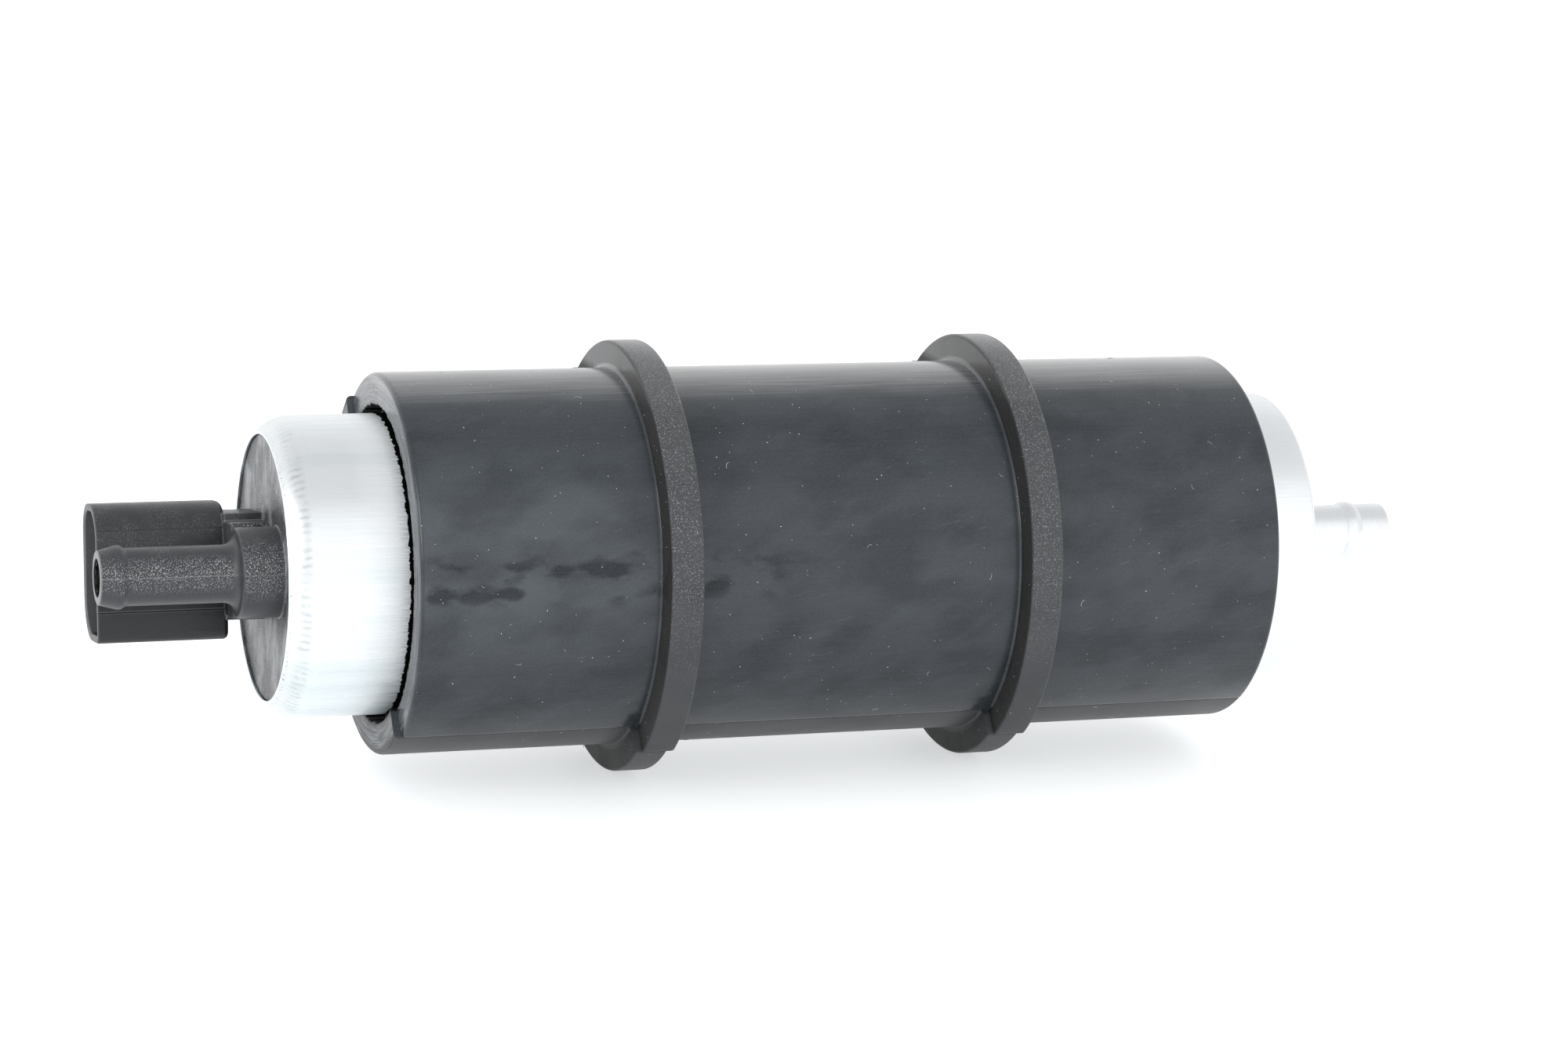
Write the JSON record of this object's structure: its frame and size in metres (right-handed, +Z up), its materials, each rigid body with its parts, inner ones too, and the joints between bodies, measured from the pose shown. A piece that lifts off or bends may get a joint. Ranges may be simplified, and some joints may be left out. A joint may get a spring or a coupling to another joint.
{
  "type": "electric fuel pump",
  "caption": "In-line electric fuel pump: aluminium canister in a ribbed rubber sleeve, hose nipple at one end, plastic cap with hose barb and plug shroud at the other.",
  "frame": {"origin": "on the pump's axis, midway between the rubber sleeve's two ribs, at the middle of the clamp's seat", "axes": "+X along the axis towards the inlet nipple, -X towards the outlet barb and plug shroud, +Z up as the pump lies on its ribs"},
  "size_m": [0.2, 0.0626, 0.0626],
  "materials": {
    "can_metal": "satin",
    "sleeve_rubber": "satin",
    "cap_plastic": "matte",
    "nipple_metal": "satin",
    "blade_metal": "satin",
    "inner_plastic": "matte",
    "fuel_seal": "matte",
    "copper": "gloss",
    "ferrite": "matte",
    "carbon": "matte",
    "spring_steel": "satin",
    "shaft_steel": "polished",
    "core_steel": "satin",
    "bush_bronze": "satin",
    "sinter_steel": "satin",
    "stage_metal": "satin",
    "screen": "matte"
  },
  "bodies": {
    "housing": {"housing_can": "can_metal", "rubber_sleeve": "sleeve_rubber", "end_cap": "cap_plastic", "inlet_nipple": "nipple_metal", "terminal_plus": "blade_metal", "terminal_minus": "blade_metal", "cap_seal_ring": "fuel_seal", "choke_cores": "ferrite", "choke_coils": "copper", "brush_holder": "inner_plastic", "brush_spring_plus": "spring_steel", "brush_spring_minus": "spring_steel", "brush_lead_plus": "copper", "brush_lead_minus": "copper", "front_bush": "bush_bronze", "rear_bush": "bush_bronze", "flux_ring": "core_steel", "magnet_upper": "ferrite", "magnet_lower": "ferrite", "magnet_clips": "spring_steel", "outlet_plate": "stage_metal", "gear_housing": "stage_metal", "stage_dowels": "shaft_steel", "relief_spring": "spring_steel", "inlet_strainer": "screen", "check_valve_seat": "blade_metal", "check_valve_spring": "spring_steel"},
    "rotor": {"armature_shaft": "shaft_steel", "armature_core": "core_steel", "armature_winding": "copper", "commutator_hub": "inner_plastic", "commutator_segments": "copper", "inner_gear": "sinter_steel", "thrust_washers": "inner_plastic"},
    "outer_gear": {"outer_gear": "sinter_steel"},
    "brush_plus": {"brush_plus": "carbon"},
    "brush_minus": {"brush_minus": "carbon"},
    "check_valve": {"check_valve_poppet": "inner_plastic"},
    "relief_valve": {"relief_valve": "blade_metal"}
  },
  "joints": [
    {"name": "rotor_spin", "type": "hinge", "parent": "housing", "child": "rotor", "pos_m": [0, 0, 0], "axis": [1, 0, 0], "continuous": true},
    {"name": "outer_gear_spin", "type": "hinge", "parent": "housing", "child": "outer_gear", "pos_m": [0.0573, 0, 0.0011], "axis": [1, 0, 0], "continuous": true},
    {"name": "brush_plus_slide", "type": "slide", "parent": "housing", "child": "brush_plus", "axis": [-1, 0, 0], "range_m": [0, 0.0015], "stiffness_N_per_m": 300, "springref_m": -0.004, "deforming": ["brush_spring_plus", "brush_lead_plus"]},
    {"name": "brush_minus_slide", "type": "slide", "parent": "housing", "child": "brush_minus", "axis": [-1, 0, 0], "range_m": [0, 0.0015], "stiffness_N_per_m": 300, "springref_m": -0.004, "deforming": ["brush_spring_minus", "brush_lead_minus"]},
    {"name": "check_valve_lift", "type": "slide", "parent": "housing", "child": "check_valve", "axis": [-1, 0, 0], "range_m": [0, 0.002], "stiffness_N_per_m": 200, "springref_m": -0.003, "deforming": ["check_valve_spring"]},
    {"name": "relief_valve_lift", "type": "slide", "parent": "housing", "child": "relief_valve", "axis": [1, 0, 0], "range_m": [0, 0.0012], "stiffness_N_per_m": 600, "springref_m": -0.003, "deforming": ["relief_spring"]}
  ],
  "couplings": [
    {"joint": "outer_gear_spin", "follows": "rotor_spin", "ratio": 0.85714}
  ]
}
